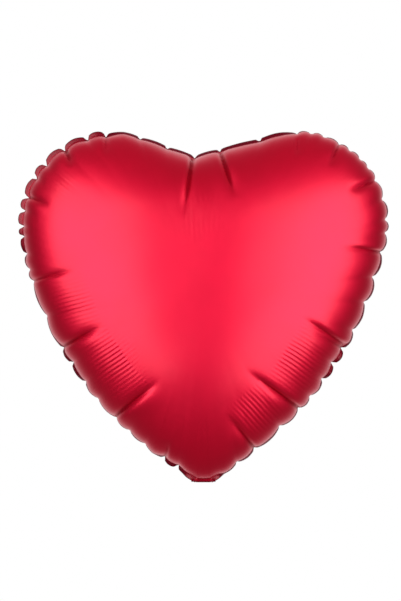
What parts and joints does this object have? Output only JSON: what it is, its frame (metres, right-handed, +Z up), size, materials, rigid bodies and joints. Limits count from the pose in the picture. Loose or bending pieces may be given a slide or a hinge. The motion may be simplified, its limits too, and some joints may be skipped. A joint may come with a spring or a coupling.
{
  "type": "heart-shaped foil balloon",
  "caption": "Inflated heart-shaped balloon of red metallised film, with a sealed rim, a clear self-sealing valve inside and its flat filling tail folded up behind.",
  "frame": {"origin": "middle of the neck's lower edge, at the heart's tip, where a ribbon is tied and the tail folds back", "axes": "+Z up from the tip to the cleft, +X across the heart from its left lobe to its right lobe as seen from the front, and the front panel faces -Y"},
  "size_m": [0.38, 0.165, 0.3611],
  "materials": {
    "foil": "satin red metallised film, heat-sealed in pairs",
    "valve_film": "clear soft film"
  },
  "bodies": {
    "heart": {"front_panel": "foil", "rear_panel": "foil", "valve_front_neck_film": "valve_film", "valve_rear_neck_film": "valve_film"},
    "tail": {"tail_front_ply": "foil", "tail_rear_ply": "foil", "valve_front_tail_film": "valve_film", "valve_rear_tail_film": "valve_film"},
    "front_lip": {"valve_front_lip": "valve_film"},
    "rear_lip": {"valve_rear_lip": "valve_film"}
  },
  "joints": [
    {"name": "tail_fold", "type": "hinge", "parent": "heart", "child": "tail", "pos_m": [0, 0, -0.00125], "axis": [-1, 0, 0], "range_deg": [0, 137]},
    {"name": "front_lip_opens", "type": "hinge", "parent": "heart", "child": "front_lip", "pos_m": [0, -0.0003, 0.0102], "axis": [1, 0, 0], "range_deg": [0, 6], "stiffness_Nm_per_rad": 0.001},
    {"name": "rear_lip_opens", "type": "hinge", "parent": "heart", "child": "rear_lip", "pos_m": [0, 0.0003, 0.0102], "axis": [-1, 0, 0], "range_deg": [0, 6], "stiffness_Nm_per_rad": 0.001}
  ],
  "couplings": [
    {"joint": "rear_lip_opens", "follows": "front_lip_opens", "ratio": 1}
  ]
}
